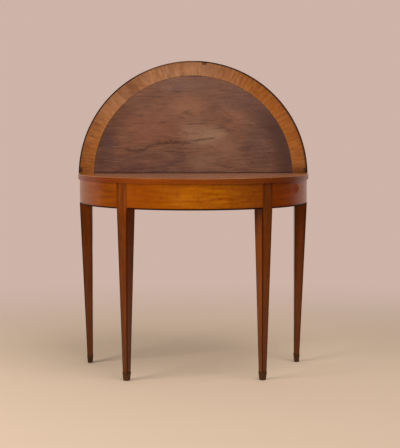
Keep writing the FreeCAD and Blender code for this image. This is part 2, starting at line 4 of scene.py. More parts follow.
import bmesh
import bpy
from mathutils import Euler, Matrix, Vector


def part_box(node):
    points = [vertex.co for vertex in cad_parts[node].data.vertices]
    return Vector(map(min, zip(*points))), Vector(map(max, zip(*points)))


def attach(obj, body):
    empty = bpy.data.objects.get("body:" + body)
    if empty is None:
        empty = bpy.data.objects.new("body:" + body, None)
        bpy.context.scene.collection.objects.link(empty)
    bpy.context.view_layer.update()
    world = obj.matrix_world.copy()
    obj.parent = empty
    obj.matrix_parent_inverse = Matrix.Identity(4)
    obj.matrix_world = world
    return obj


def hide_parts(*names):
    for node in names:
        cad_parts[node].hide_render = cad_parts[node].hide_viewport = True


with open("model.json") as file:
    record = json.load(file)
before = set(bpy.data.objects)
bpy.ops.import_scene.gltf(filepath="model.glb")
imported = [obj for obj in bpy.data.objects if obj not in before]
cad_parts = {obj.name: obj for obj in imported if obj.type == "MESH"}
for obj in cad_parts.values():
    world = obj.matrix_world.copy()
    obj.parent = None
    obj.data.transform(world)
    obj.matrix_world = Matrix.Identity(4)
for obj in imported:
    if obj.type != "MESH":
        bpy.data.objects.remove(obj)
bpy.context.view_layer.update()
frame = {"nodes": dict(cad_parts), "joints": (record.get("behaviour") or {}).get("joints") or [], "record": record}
nodes = frame["nodes"]
record = frame["record"]
print("frame loaded:", len(nodes), "nodes")

# places that the finishes and pieces are set out from, all read from the frame
leafHinge = [joint for joint in frame["joints"] if joint["name"] == "leaf_hinge"][0]
hingePlace = Vector(leafHinge["pos_m"])
leafLean = math.radians(90 - leafHinge["range_deg"][1])
leafUp = Vector((0, math.sin(leafLean), math.cos(leafLean)))
leafFront = Vector((0, -math.cos(leafLean), math.sin(leafLean)))
rimLow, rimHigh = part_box("fixed_top_edge_veneer")
topRadius = (rimHigh.x - rimLow.x) / 2
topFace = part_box("fixed_top_panel")[1].z
arcPlace = Vector((0, rimHigh.y, topFace))
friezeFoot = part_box("frieze_veneer_centre")[0].z
bodyOf = {name: body for body, names in record["behaviour"]["bodies"].items() for name in names}
slotOf = {part["node"]: part["material_slot"] for part in record["subparts"]}
mm = 0.001
sides = ("left", "right")
legs = [(side, row) for side in sides for row in ("front", "rear")]
panels = ("left", "centre", "right")
courses = ("lower", "middle", "upper")


def middleOf(nodeName):
    low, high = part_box(nodeName)
    return (low + high) / 2


def legTurn(row, foot):
    # a front leg faces out from the middle of the bow, a rear one straight ahead
    return math.atan2(foot.x, arcPlace.y - foot.y) if row == "front" else 0.0


# small helpers for node trees

def srgb(red, green, blue):
    def linear(value):
        share = value / 255
        return share / 12.92 if share <= 0.04045 else ((share + 0.055) / 1.055) ** 2.4
    return (linear(red), linear(green), linear(blue), 1.0)


def feed(tree, socket, value):
    if isinstance(value, bpy.types.NodeSocket):
        tree.links.new(value, socket)
    else:
        socket.default_value = value


def addNode(tree, kind, inputs=None, **options):
    node = tree.nodes.new("ShaderNode" + kind)
    for option, value in options.items():
        setattr(node, option, value)
    for key, value in (inputs or {}).items():
        feed(tree, node.inputs[key], value)
    return node


def maths(tree, operation, *values):
    return addNode(tree, "Math", dict(enumerate(values)), operation=operation).outputs[0]


def times(tree, value, share):
    return maths(tree, "MULTIPLY", value, share)


def vectorMaths(tree, operation, *values):
    node = addNode(tree, "VectorMath", dict(enumerate(values)), operation=operation)
    return node.outputs["Value" if operation in ("LENGTH", "DOT_PRODUCT") else "Vector"]


def noise(tree, vector, scale=1.0, detail=3.0, roughness=0.55, gives="Fac"):
    inputs = {"Vector": vector, "Scale": scale, "Detail": detail, "Roughness": roughness}
    return addNode(tree, "TexNoise", inputs).outputs[gives]


def sizedNoise(tree, vector, size, detail=4.0, roughness=0.6):
    # noise with a size of its own along each axis
    return noise(tree, vectorMaths(tree, "DIVIDE", vector, size), 1.0, detail, roughness)


def mapRange(tree, value, low, high, start=0.0, end=1.0, kind="LINEAR"):
    inputs = {"Value": value, "From Min": low, "From Max": high, "To Min": start, "To Max": end}
    return addNode(tree, "MapRange", inputs, interpolation_type=kind).outputs[0]


def fade(tree, value, low, high, start=0.0, end=1.0):
    # eases from start to end while value goes from low to high
    return mapRange(tree, value, low, high, start, end, "SMOOTHSTEP")


def window(tree, value, begin, full, ease, gone):
    # rises from begin to full and falls again from ease to gone
    return times(tree, fade(tree, value, begin, full), fade(tree, value, ease, gone, 1.0, 0.0))


def mixColours(tree, share, under, over):
    node = addNode(tree, "Mix", {0: share, 6: under, 7: over}, data_type="RGBA", blend_type="MIX")
    return node.outputs[2]


def tint(tree, colour, tone, mask, share=None):
    # lays a tone or another colour over a colour where the mask is
    over = tone if isinstance(tone, bpy.types.NodeSocket) else srgb(*tone)
    return mixColours(tree, mask if share is None else times(tree, mask, share), colour, over)


def ramp(tree, colour, value, tone, span, shares):
    # lays a tone over a colour by a share that changes while value crosses a span
    return tint(tree, colour, tone, fade(tree, value, *span, *shares))


def splitVector(tree, vector):
    return addNode(tree, "SeparateXYZ", {0: vector}).outputs


def joinVector(tree, x, y, z):
    return addNode(tree, "CombineXYZ", {0: x, 1: y, 2: z}).outputs[0]


def turned(tree, vector, turn, place=(0, 0, 0), kind="POINT"):
    inputs = {"Vector": vector, "Location": place, "Rotation": turn}
    return addNode(tree, "Mapping", inputs, vector_type=kind).outputs[0]


def startGroup(name, takes, gives):
    group = bpy.data.node_groups.new(name, "ShaderNodeTree")
    for socketName, value in takes.items():
        kind = "NodeSocketVector" if isinstance(value, tuple) else "NodeSocketFloat"
        socket = group.interface.new_socket(socketName, in_out="INPUT", socket_type=kind)
        socket.default_value = value
    for socketName, kind in gives.items():
        group.interface.new_socket(socketName, in_out="OUTPUT", socket_type="NodeSocket" + kind)
    given = group.nodes.new("NodeGroupInput").outputs
    wanted = group.nodes.new("NodeGroupOutput").inputs
    return group, given, wanted


def useGroup(tree, group, inputs):
    node = tree.nodes.new("ShaderNodeGroup")
    node.node_tree = group
    for key, value in inputs.items():
        feed(tree, node.inputs[key], value)
    return node.outputs


# effects that several finishes share

fibreShape = {
    "bendScale": 3.5, "bendDetail": 2, "mottleLong": 2.5,
    "Streak": {"detail": 5, "roughness": 0.62, "span": (0.28, 0.72)},
    "Pore": {"detail": 1, "roughness": 0.55, "span": (0.58, 0.72)},
    "Mottle": {"detail": 3, "roughness": 0.55, "span": (0.25, 0.75)},
}


def makeFibre():
    # grain along x: soft streaks, short open pores and a broad mottle
    group, given, wanted = startGroup(
        "woodFibre",
        {"Vector": (0, 0, 0), "Streak Length": 0.3, "Streak Width": 0.006, "Pore Length": 0.012,
         "Pore Width": 0.0006, "Mottle Size": 0.05, "Wander": 0.006},
        {"Streak": "Float", "Pore": "Float", "Mottle": "Float"})
    bend = noise(group, given["Vector"], fibreShape["bendScale"], fibreShape["bendDetail"],
                 gives="Color")
    bend = vectorMaths(group, "SUBTRACT", bend, (0.5, 0.5, 0.5))
    reach = joinVector(group, 0.0, given["Wander"], given["Wander"])
    bent = vectorMaths(group, "ADD", given["Vector"], vectorMaths(group, "MULTIPLY", bend, reach))
    mottleLength = times(group, given["Mottle Size"], fibreShape["mottleLong"])
    sizes = {
        "Streak": (given["Streak Length"], given["Streak Width"]),
        "Pore": (given["Pore Length"], given["Pore Width"]),
        "Mottle": (mottleLength, given["Mottle Size"]),
    }
    for name, (length, width) in sizes.items():
        shape = fibreShape[name]
        size = joinVector(group, length, width, width)
        field = sizedNoise(group, bent, size, shape["detail"], shape["roughness"])
        feed(group, wanted[name], fade(group, field, *shape["span"]))
    return group


polishShape = {
    "haze": {"scale": 11, "detail": 4}, "hazeSpan": (0.3, 0.7),
    "grime": {"scale": 26, "detail": 5, "roughness": 0.65}, "grimeSpan": (0.45, 0.75),
    "scratchWays": ((0.35, 3.0), (-0.9, 17.0)), "scratchScale": (14.0, 1500.0, 1500.0),
    "scratchSpan": (0.74, 0.8),
}


def makePolish():
    # old polish: uneven sheen, fine scratches both ways and grime in patches
    shape = polishShape
    group, given, wanted = startGroup(
        "oldPolish", {"Vector": (0, 0, 0)}, {"Haze": "Float", "Scratch": "Float", "Grime": "Float"})
    haze = noise(group, given["Vector"], **shape["haze"])
    feed(group, wanted["Haze"], fade(group, haze, *shape["hazeSpan"]))
    marks = []
    for turn, seed in shape["scratchWays"]:
        laid = turned(group, given["Vector"], (turn, turn, turn), (seed, seed, seed))
        thin = vectorMaths(group, "MULTIPLY", laid, shape["scratchScale"])
        marks.append(fade(group, noise(group, thin, detail=0), *shape["scratchSpan"]))
    feed(group, wanted["Scratch"], maths(group, "MAXIMUM", *marks))
    grime = noise(group, given["Vector"], **shape["grime"])
    feed(group, wanted["Grime"], fade(group, grime, *shape["grimeSpan"]))
    return group


rimShape = {"section": 0.17, "joint": 0.8 * mm, "seedStep": 0.37}


def makeRoundRim():
    # unrolls a half-round band: grain runs out from the middle, in sections with a joint between
    group, given, wanted = startGroup(
        "roundRim",
        {"Vector": (0, 0, 0), "Section": rimShape["section"], "Joint Width": rimShape["joint"]},
        {"Grain": "Vector", "Tone": "Float", "Joint": "Float", "Along": "Float", "Radius": "Float"})
    x, y = splitVector(group, given["Vector"])[:2]
    radius = vectorMaths(group, "LENGTH", joinVector(group, x, y, 0.0))
    along = times(group, maths(group, "ARCTAN2", x, y), topRadius)
    count = maths(group, "DIVIDE", along, given["Section"])
    section = maths(group, "FLOOR", count)
    tone = addNode(group, "TexWhiteNoise", {"W": section}, noise_dimensions="1D").outputs["Value"]
    near = maths(group, "PINGPONG", count, 0.5)
    half = maths(group, "DIVIDE", given["Joint Width"], given["Section"])
    seed = times(group, section, rimShape["seedStep"])
    feed(group, wanted["Grain"], joinVector(group, radius, along, seed))
    feed(group, wanted["Tone"], tone)
    feed(group, wanted["Joint"], fade(group, near, 0.0, half, 1.0, 0.0))
    feed(group, wanted["Along"], along)
    feed(group, wanted["Radius"], radius)
    return group


patchShape = {"wave": (1.3, 2.6, 2.6), "fray": (22.0, 160.0, 22.0)}


def makePatch():
    # one soft, ragged spot at a place
    group, given, wanted = startGroup(
        "softPatch",
        {"Vector": (0, 0, 0), "Centre": (0, 0, 0), "Reach": (0.05, 0.05, 0.05), "Ragged": 0.5,
         "Edge": 0.6},
        {"Mask": "Float"})
    away = vectorMaths(group, "SUBTRACT", given["Vector"], given["Centre"])
    away = vectorMaths(group, "DIVIDE", away, given["Reach"])
    wave = noise(group, vectorMaths(group, "MULTIPLY", away, patchShape["wave"]), detail=4)
    fray = noise(group, vectorMaths(group, "MULTIPLY", given["Vector"], patchShape["fray"]),
                 detail=4, roughness=0.6)
    wave = maths(group, "SUBTRACT", maths(group, "ADD", wave, fray), 1.0)
    wave = times(group, wave, given["Ragged"])
    distance = maths(group, "ADD", vectorMaths(group, "LENGTH", away), wave)
    inner = maths(group, "SUBTRACT", 1.0, given["Edge"])
    feed(group, wanted["Mask"], fade(group, distance, inner, 1.0, 1.0, 0.0))
    return group


hairlineShape = {
    "shake": {"scale": 60, "detail": 3}, "shakeReach": 2.0, "ease": 0.02,
    "uneven": {"scale": 35, "detail": 2}, "unevenSpan": (0.25, 0.6), "weakest": 0.35,
}


def makeHairline():
    # a thin dark line along x, unevenly strong; y is the distance from it
    shape = hairlineShape
    group, given, wanted = startGroup(
        "hairline", {"Vector": (0, 0, 0), "Start": -0.1, "End": 0.1, "Width": 0.002},
        {"Mask": "Float"})
    x, y, z = splitVector(group, given["Vector"])
    shake = noise(group, joinVector(group, x, 0.0, z), **shape["shake"])
    reach = times(group, given["Width"], shape["shakeReach"])
    offset = times(group, maths(group, "SUBTRACT", shake, 0.5), reach)
    away = maths(group, "ABSOLUTE", maths(group, "ADD", y, offset))
    line = fade(group, away, 0.0, given["Width"], 1.0, 0.0)
    full = maths(group, "ADD", given["Start"], shape["ease"])
    ease = maths(group, "SUBTRACT", given["End"], shape["ease"])
    uneven = noise(group, joinVector(group, x, 0.0, 0.0), **shape["uneven"])
    uneven = fade(group, uneven, *shape["unevenSpan"], shape["weakest"], 1.0)
    length = window(group, x, given["Start"], full, ease, given["End"])
    feed(group, wanted["Mask"], times(group, times(group, line, uneven), length))
    return group


fibreGroup = makeFibre()
polishGroup = makePolish()
rimGroup = makeRoundRim()
patchGroup = makePatch()
hairlineGroup = makeHairline()
print("shared effects made")


def patch(tree, vector, look):
    return useGroup(tree, patchGroup, {
        "Vector": vector, "Centre": look["place"], "Reach": look["reach"],
        "Ragged": look["ragged"], "Edge": look["edge"]})["Mask"]


def hairline(tree, vector, start, end, width):
    inputs = {"Vector": vector, "Start": start, "End": end, "Width": width}
    return useGroup(tree, hairlineGroup, inputs)["Mask"]


# ways to lay a pattern on a piece

def objectPlace(tree):
    return addNode(tree, "TexCoord").outputs["Object"]


def heightOf(tree):
    return splitVector(tree, objectPlace(tree))["Z"]


def leafPlane(tree):
    # x along the meeting edge, y up the leaf, z out of its inner face
    return turned(tree, objectPlace(tree), (math.pi / 2 - leafLean, 0, 0), hingePlace, "TEXTURE")


def topPlane(tree):
    # x along the meeting edge, y towards the front, z down into the board
    return turned(tree, objectPlace(tree), (math.pi, 0, 0), arcPlace, "TEXTURE")


def upright(tree):
    # grain up the piece
    return turned(tree, objectPlace(tree), (0, math.pi / 2, 0))


def endways(tree):
    # grain from the front to the back
    return turned(tree, objectPlace(tree), (0, 0, math.pi / 2))


def roundFrieze(tree):
    # grain round the bow of the frieze, y up it
    x, y, z = splitVector(tree, vectorMaths(tree, "SUBTRACT", objectPlace(tree), tuple(arcPlace)))
    angle = maths(tree, "ARCTAN2", x, times(tree, y, -1.0))
    return joinVector(tree, times(tree, angle, topRadius), z, 0.0)


# finishes

def startFinish(name):
    material = bpy.data.materials.new(name)
    material.use_nodes = True
    tree = material.node_tree
    tree.nodes.clear()
    shader = addNode(tree, "BsdfPrincipled")
    tree.links.new(shader.outputs[0], addNode(tree, "OutputMaterial").inputs["Surface"])
    return material, tree, shader


def woodColour(tree, grain, look):
    length, width = look["streak"]
    poreLength, poreWidth = look["pore"]
    fibre = useGroup(tree, fibreGroup, {
        "Vector": grain, "Streak Length": length, "Streak Width": width,
        "Pore Length": poreLength, "Pore Width": poreWidth, "Mottle Size": look["mottle"],
        "Wander": look["wander"]})
    colour = mixColours(tree, fibre["Streak"], srgb(*look["dark"]), srgb(*look["light"]))
    colour = tint(tree, colour, look["figure"], fibre["Mottle"], look["mottleShare"])
    colour = tint(tree, colour, look["poreTone"], fibre["Pore"], look["poreShare"])
    return colour, fibre


woodWear = {"scratchDull": 0.12, "streakHeight": 0.4, "bump": 0.5}


def finishWood(tree, shader, colour, fibre, look, dulled=None):
    polish = useGroup(tree, polishGroup, {"Vector": objectPlace(tree)})
    colour = tint(tree, colour, look["poreTone"], polish["Grime"], look["grime"])
    feed(tree, shader.inputs["Base Color"], colour)
    sheen = fade(tree, polish["Haze"], 0.0, 1.0, *look["roughness"])
    sheen = maths(tree, "ADD", sheen, times(tree, polish["Scratch"], woodWear["scratchDull"]))
    if dulled:
        sheen = maths(tree, "ADD", sheen, dulled)
    feed(tree, shader.inputs["Roughness"], sheen)
    shader.inputs["Specular IOR Level"].default_value = look["gloss"]
    height = times(tree, maths(tree, "ADD", fibre["Pore"], polish["Scratch"]), -1.0)
    height = maths(tree, "ADD", height, times(tree, fibre["Streak"], woodWear["streakHeight"]))
    bump = addNode(tree, "Bump", {
        "Strength": woodWear["bump"], "Distance": look["relief"], "Height": height})
    feed(tree, shader.inputs["Normal"], bump.outputs[0])


def plainFinish(name, lay, look):
    material, tree, shader = startFinish(name)
    colour, fibre = woodColour(tree, lay(tree), look)
    finishWood(tree, shader, colour, fibre, look)
    return material


# a ramp in a look gives its tone, its span and its shares at the span's ends
plainWood = {
    "streak": (0.3, 0.007), "pore": (0.012, 0.0007), "mottle": 0.05, "wander": 0.008,
    "mottleShare": 0.3, "poreShare": 0.45, "grime": 0.12, "roughness": (0.22, 0.34),
    "gloss": 0.45, "relief": 0.0002,
}

# the place where a splinter is gone from the banding has turned dark
chipLook = {
    "place": (0.045, 0.4415, 0), "reach": (0.012, 0.0105, 0.006), "tone": (96, 48, 10),
    "ragged": 0.12, "edge": 0.3,
}


def darkChip(tree, plane, colour):
    return tint(tree, colour, chipLook["tone"], patch(tree, plane, chipLook))


fieldLook = {
    **plainWood, "light": (142, 94, 70), "dark": (98, 61, 46), "figure": (124, 78, 55),
    "poreTone": (54, 32, 26), "streak": (0.08, 0.0042), "mottle": 0.045, "mottleShare": 0.45,
    "wander": 0.006, "roughness": (0.34, 0.5), "mark": (54, 28, 20),
    "patchEdge": {"ragged": 0.8, "edge": 0.85}, "patchStreak": 0.42,
    "cloudSize": (0.085, 0.028, 0.085), "cloudDetail": 5,
    "cloudPale": ((144, 100, 76), (0.52, 0.72), (0.0, 0.5)),
    "cloudDark": ((80, 48, 40), (0.3, 0.46), (0.5, 0.0)),
    "veinSize": (0.024, 0.0026, 0.0026), "vein": ((54, 28, 20), (0.54, 0.74), (0.0, 0.6)),
    "sideTone": (70, 38, 28), "sideReach": (0.3, 0.375), "sideHeight": (0.16, 0.36, 0.75, 0.0),
    "sideAcross": (-0.1, 0.3, 0.6, 1.0),
    "crackCurve": ((0.0, 0.45), (0.2, 0.0), (0.36, 0.42), (0.56, 0.78), (1.0, 0.85)),
    "crackSpan": (-0.275, -0.005), "crackHeight": (0.089, 0.127), "crackWidth": 0.011,
    "crackShare": 0.62, "edgeGrime": (0.0, 0.009, 0.9, 0.0),
}
outerLook = {
    **plainWood, "light": (146, 86, 56), "dark": (104, 56, 34), "figure": (122, 64, 36),
    "poreTone": (58, 32, 22), "streak": (0.42, 0.016), "mottle": 0.075, "mottleShare": 0.5,
    "wander": 0.05, "depth": (-0.012, -0.008),
}
# faded and stained places of the leaf's inner face: middle, reach, tone, share
fieldPatches = (
    ((-0.17, 0.185, 0), (0.21, 0.1, 1), (132, 80, 56), 0.75),
    ((0.0, 0.245, 0), (0.14, 0.07, 1), (132, 90, 68), 0.6),
    ((-0.03, 0.35, 0), (0.2, 0.045, 1), (116, 83, 71), 0.75),
    ((0.18, 0.3, 0), (0.13, 0.09, 1), (106, 71, 60), 0.7),
    ((-0.35, 0.125, 0), (0.06, 0.14, 1), (86, 57, 51), 0.8),
    ((-0.2, 0.035, 0), (0.25, 0.07, 1), (88, 54, 47), 0.85),
    ((-0.2, 0.01, 0), (0.28, 0.03, 1), (80, 48, 42), 0.8),
    ((0.31, 0.13, 0), (0.17, 0.21, 1), (86, 54, 44), 0.85),
    ((0.05, 0.15, 0), (0.125, 0.064, 1), (160, 121, 92), 0.75),
    ((0.085, 0.152, 0), (0.06, 0.03, 1), (164, 126, 98), 0.5),
    ((0.04, 0.045, 0), (0.11, 0.045, 1), (140, 102, 80), 0.55),
    ((-0.06, 0.066, 0), (0.045, 0.04, 1), (88, 55, 48), 0.6),
    ((0.082, 0.262, 0), (0.036, 0.03, 1), (90, 60, 52), 0.6),
    ((-0.02, 0.27, 0), (0.11, 0.06, 1), (156, 102, 72), 0.65),
    ((0.16, 0.222, 0), (0.08, 0.055, 1), (144, 90, 60), 0.6),
    ((-0.02, 0.165, 0), (0.055, 0.045, 1), (156, 112, 85), 0.6),
    ((0.125, 0.1, 0), (0.09, 0.065, 1), (146, 100, 73), 0.6),
    ((-0.165, 0.045, 0), (0.05, 0.025, 1), (124, 76, 56), 0.6),
)
# dark lines in the figure: start, end, half width, share
fieldMarks = (
    ((-0.126, 0.087), (-0.05, 0.086), 0.0035, 0.5),
    ((-0.012, 0.127), (0.095, 0.142), 0.0055, 0.75),
    ((0.042, 0.045), (0.16, 0.02), 0.003, 0.4),
    ((0.074, 0.082), (0.168, 0.085), 0.003, 0.4),
    ((0.094, 0.266), (0.19, 0.2), 0.004, 0.35),
    ((-0.262, 0.199), (-0.165, 0.2), 0.0034, 0.4),
    ((-0.245, 0.305), (-0.08, 0.308), 0.0034, 0.4),
    ((-0.03, 0.195), (0.085, 0.197), 0.0034, 0.5),
    ((-0.02, 0.3875), (0.05, 0.3865), 0.004, 0.7),
)


def fieldCrack(tree, x, y):
    # the curved dark figure, drawn as a height over its span
    start, end = fieldLook["crackSpan"]
    curve = addNode(tree, "FloatCurve", {"Value": mapRange(tree, x, start, end)})
    points = curve.mapping.curves[0].points
    for index, (across, up) in enumerate(fieldLook["crackCurve"]):
        point = points[index] if index < 2 else points.new(across, up)
        point.location = (across, up)
    curve.mapping.update()
    line = mapRange(tree, curve.outputs[0], 0.0, 1.0, *fieldLook["crackHeight"])
    lay = joinVector(tree, x, maths(tree, "SUBTRACT", y, line), 0.0)
    return hairline(tree, lay, start, end, fieldLook["crackWidth"])


def leafField():
    look = fieldLook
    material, tree, shader = startFinish("leafField")
    plane = leafPlane(tree)
    x, y, z = splitVector(tree, plane)
    colour, fibre = woodColour(tree, plane, look)
    for place, reach, tone, share in fieldPatches:
        mask = patch(tree, plane, {"place": place, "reach": reach, **look["patchEdge"]})
        patched = tint(tree, srgb(*tone), look["light"], fibre["Streak"], look["patchStreak"])
        colour = tint(tree, colour, patched, mask, share)
    # cloudy light and dark between the patches
    cloud = sizedNoise(tree, plane, look["cloudSize"], look["cloudDetail"])
    colour = ramp(tree, colour, cloud, *look["cloudPale"])
    colour = ramp(tree, colour, cloud, *look["cloudDark"])
    # short dark veins lie along the grain
    colour = ramp(tree, colour, sizedNoise(tree, plane, look["veinSize"]), *look["vein"])
    # the field is darker round its sides, lower down and most at the right
    radius = vectorMaths(tree, "LENGTH", joinVector(tree, x, y, 0.0))
    low = fade(tree, y, *look["sideHeight"])
    sideDarkening = times(tree, fade(tree, radius, *look["sideReach"]), low)
    colour = tint(tree, colour, look["sideTone"], sideDarkening, fade(tree, x, *look["sideAcross"]))
    marks = times(tree, fieldCrack(tree, x, y), look["crackShare"])
    for start, end, width, share in fieldMarks:
        way = Vector(end) - Vector(start)
        lay = turned(tree, plane, (0, 0, math.atan2(way.y, way.x)), (*start, 0), "TEXTURE")
        mark = hairline(tree, lay, 0.0, way.length, width)
        marks = maths(tree, "MAXIMUM", marks, times(tree, mark, share))
    # darker along the meeting edge: grime, and painted shade of the gap under the leaf
    grime = fade(tree, y, *look["edgeGrime"])
    colour = tint(tree, colour, look["mark"], maths(tree, "MAXIMUM", marks, grime))
    colour = darkChip(tree, plane, colour)
    # the outer face kept its colour
    kept = woodColour(tree, plane, outerLook)[0]
    colour = ramp(tree, colour, z, kept, outerLook["depth"], (1.0, 0.0))
    finishWood(tree, shader, colour, fibre, look)
    return material


topLook = {
    **plainWood, "light": (168, 114, 84), "dark": (132, 84, 58), "figure": (152, 100, 71),
    "poreTone": (70, 40, 28), "streak": (0.2, 0.006), "wander": 0.01, "roughness": (0.2, 0.32),
}

bandLook = {
    **plainWood, "light": (184, 114, 51), "dark": (126, 67, 21), "figure": (152, 82, 26),
    "poreTone": (76, 38, 14), "streak": (0.05, 0.008), "pore": (0.01, 0.0006), "mottle": 0.03,
    "wander": 0.006, "poreShare": 0.4, "mottleShare": 0.4, "roughness": (0.26, 0.4),
    "section": 0.157, "toneShare": 0.42, "jointShare": 0.4,
    "bright": ((182, 122, 66), (0.388, 0.402), (0.3, 0.0)),
    "flameSize": (0.06, 0.03, 0.2), "flame": ((104, 54, 20), (0.52, 0.72), (0.0, 0.4)),
    "outer": ((108, 56, 16), (0.404, 0.442), (0.0, 0.22)),
}
# painted light from the left: the left shoulder is paler and the right one redder; a strip was let in near the top
bandLightAndMarksLook = {
    "redder": ((152, 78, 4), (186, 104, 9)), "redSlope": 0.2, "redAcross": (0.02, 0.38),
    "redHeight": (-0.05, 0.14, 0.0, 0.7),
    "pale": ((154, 106, 73), (184, 135, 99)), "paleAlong": (-0.62, -0.3, -0.02, 0.28),
    "paleShare": 0.6, "shoulderTone": (104, 54, 20), "shoulderShare": 0.6,
    "shoulder": {"place": (-0.24, 0.342, 0), "reach": (0.08, 0.075, 1), "ragged": 0.9, "edge": 1.0},
    "strip": (0.04, 0.042, 0.05, 0.052), "stripHeight": (0.38, 0.4, 0.0, 0.45),
}
# dark margin along the rim, widened at the right by a painted shadow, dark foot and dark spots beside the hinges
wornAndShadedLook = {
    "rim": ((66, 32, 12), (topRadius - 8 * mm, topRadius - 4 * mm), (0.0, 0.8)),
    "rimWider": (0.1, 0.4, 0.0, 2.5 * mm),
    "footTone": (74, 32, 8), "footHeight": (0.0, 0.05, 1.0, 0.0),
    "footAcross": (-0.1, 0.1, 0.25, 0.65),
    "stainTone": (46, 27, 6), "stainShare": 0.85,
    "stainEdge": {"reach": (0.014, 0.016, 1), "ragged": 0.3, "edge": 0.8},
    "stainPlaces": ((-0.443, 0.014, 0), (0.443, 0.012, 0)),
}


def bandLightAndMarks(tree, plane, rim, fibre, colour):
    look = bandLightAndMarksLook
    x, y = splitVector(tree, plane)[:2]
    redder, pale = (mixColours(tree, fibre["Streak"], *(srgb(*tone) for tone in look[key]))
                    for key in ("redder", "pale"))
    # painted light: the right side is redder and darker
    across = maths(tree, "SUBTRACT", x, times(tree, y, look["redSlope"]))
    right = fade(tree, across, *look["redAcross"])
    colour = tint(tree, colour, redder, right, fade(tree, y, *look["redHeight"]))
    # painted light: the left shoulder is paler
    paleLeft = window(tree, rim["Along"], *look["paleAlong"])
    colour = tint(tree, colour, pale, paleLeft, look["paleShare"])
    shoulder = patch(tree, plane, look["shoulder"])
    colour = tint(tree, colour, look["shoulderTone"], shoulder, look["shoulderShare"])
    strip = window(tree, x, *look["strip"])
    return tint(tree, colour, pale, strip, fade(tree, y, *look["stripHeight"]))


def wornAndShadedBand(tree, plane, rim, colour):
    look = wornAndShadedLook
    x, y = splitVector(tree, plane)[:2]
    # the margin is grime along the rim; its widening at the right is a painted shadow of the leaf's edge
    margin = maths(tree, "ADD", rim["Radius"], fade(tree, x, *look["rimWider"]))
    colour = ramp(tree, colour, margin, *look["rim"])
    foot = fade(tree, y, *look["footHeight"])
    colour = tint(tree, colour, look["footTone"], foot, fade(tree, x, *look["footAcross"]))
    # dark spots where the band meets the hinges
    for place in look["stainPlaces"]:
        stain = patch(tree, plane, {"place": place, **look["stainEdge"]})
        colour = tint(tree, colour, look["stainTone"], stain, look["stainShare"])
    return darkChip(tree, plane, colour)


def crossbanding(name, lay, faded=False):
    look = bandLook
    material, tree, shader = startFinish(name)
    plane = lay(tree)
    rim = useGroup(tree, rimGroup, {"Vector": plane, "Section": look["section"]})
    colour, fibre = woodColour(tree, rim["Grain"], look)
    colour = tint(tree, colour, look["dark"], rim["Tone"], look["toneShare"])
    colour = ramp(tree, colour, rim["Radius"], *look["bright"])
    if faded:
        colour = bandLightAndMarks(tree, plane, rim, fibre, colour)
    flame = sizedNoise(tree, rim["Grain"], look["flameSize"])
    colour = ramp(tree, colour, flame, *look["flame"])
    colour = ramp(tree, colour, rim["Radius"], *look["outer"])
    colour = tint(tree, colour, look["poreTone"], rim["Joint"], look["jointShare"])
    if faded:
        colour = wornAndShadedBand(tree, plane, rim, colour)
    finishWood(tree, shader, colour, fibre, look)
    return material


friezeLook = {
    **plainWood, "streak": (0.12, 0.011), "pore": (0.014, 0.0007), "wander": 0.015,
    "mottleShare": 0.5, "poreShare": 0.35, "poreTone": (92, 42, 6), "roughness": (0.12, 0.24),
    "gloss": 0.34, "relief": 0.00006, "grime": 0.08, "shadeAway": ((0.03, 0.24), (0.0, 0.7)),
    "cloudSize": (0.024, 0.02, 0.05), "cloud": ((0.5, 0.72), (0.0, 0.6)),
    "low": ((84, 34, 3), (friezeFoot, friezeFoot + 4 * mm), (0.75, 0.0)),
}
# each panel's shade tone is painted shade away from its middle, and also tints the clouds of the figure; the left
# one is paler, a painted reflection at the far end
friezeTones = {
    "left": {"light": (152, 77, 6), "dark": (114, 50, 2), "figure": (132, 60, 3),
             "shade": (126, 68, 26), "middle": -0.36},
    "centre": {"light": (201, 119, 10), "dark": (155, 76, 2), "figure": (175, 92, 4),
               "shade": (136, 58, 3), "middle": 0.04},
    "right": {"light": (156, 70, 8), "dark": (116, 46, 4), "figure": (134, 55, 5),
              "shade": (134, 56, 5), "middle": 0.45},
}
# a round stain at the right end
blotLook = {
    "place": (0.458, -0.048, 0.0), "reach": (0.044, 0.024, 1.0), "ragged": 0.15, "edge": 0.6,
    "tone": (140, 50, 2), "share": 0.85, "dull": 0.7,
}


def friezeVeneer(side):
    look = {**friezeLook, **friezeTones[side]}
    material, tree, shader = startFinish(side + "Frieze")
    bow = roundFrieze(tree)
    colour, fibre = woodColour(tree, bow, look)
    # painted shade away from each panel's middle, where the bow turns from the light
    away = maths(tree, "SUBTRACT", splitVector(tree, bow)["X"], look["middle"])
    away = maths(tree, "ABSOLUTE", away)
    colour = ramp(tree, colour, away, look["shade"], *look["shadeAway"])
    # darker clouds in the figure
    cloud = sizedNoise(tree, bow, look["cloudSize"])
    colour = ramp(tree, colour, cloud, look["shade"], *look["cloud"])
    colour = ramp(tree, colour, heightOf(tree), *look["low"])
    dulled = None
    if side == "right":
        blot = patch(tree, bow, blotLook)
        colour = tint(tree, colour, blotLook["tone"], blot, blotLook["share"])
        dulled = times(tree, blot, blotLook["dull"])
    finishWood(tree, shader, colour, fibre, look, dulled)
    return material


edgeLook = {
    **friezeLook, "light": (158, 76, 8), "dark": (126, 55, 5), "figure": (144, 65, 6),
    "poreTone": (80, 34, 6), "streak": (0.2, 0.005), "roughness": (0.22, 0.32), "relief": 0.0001,
    "ends": ((104, 42, 6), (0.12, 0.4), (0.0, 0.8)),
    "bare": ((150, 98, 64), (180, 124, 88)), "bareDepth": ((0.5 * mm, 1.5 * mm), (1.0, 0.0)),
}


